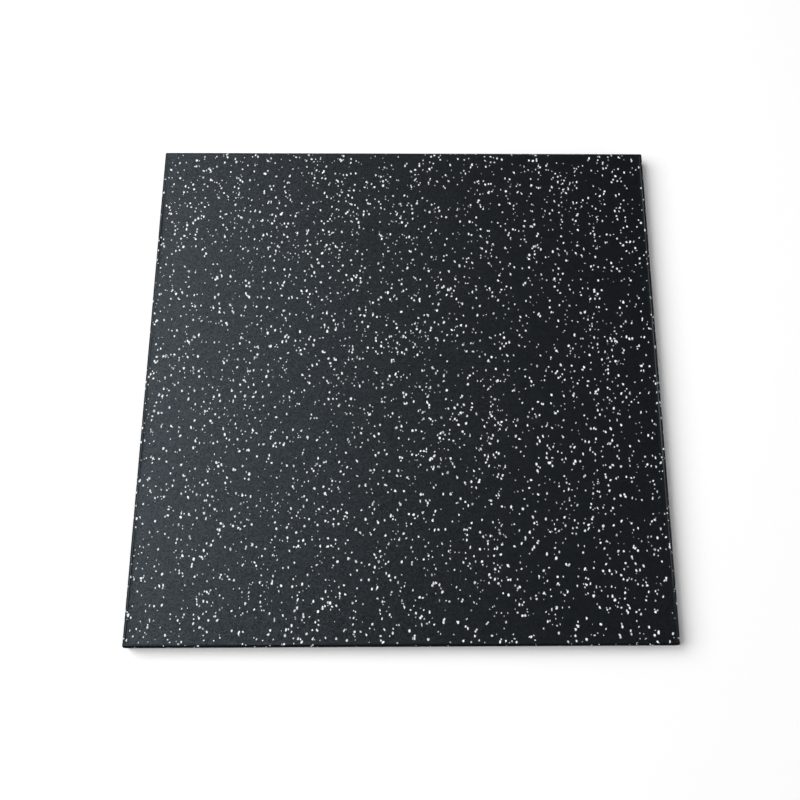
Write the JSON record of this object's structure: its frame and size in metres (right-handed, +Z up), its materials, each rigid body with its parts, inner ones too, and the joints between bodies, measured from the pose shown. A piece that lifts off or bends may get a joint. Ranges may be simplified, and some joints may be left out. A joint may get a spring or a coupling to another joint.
{
  "type": "rubber gym floor tile",
  "caption": "Square black crumb rubber floor tile with rounded edges and pale rubber flecks, laid edge to edge to cover a gym floor.",
  "frame": {"origin": "centre of the underside, at floor level", "axes": "+Z up through the thickness to the walking face; +X along the width, to the right; +Y along the length, to the back"},
  "size_m": [0.5, 0.5, 0.015],
  "materials": {
    "flecked_rubber": "matte, black crumb rubber with pale flecks through it"
  },
  "bodies": {
    "root": {"rubber_tile": "flecked_rubber"}
  },
  "joints": []
}
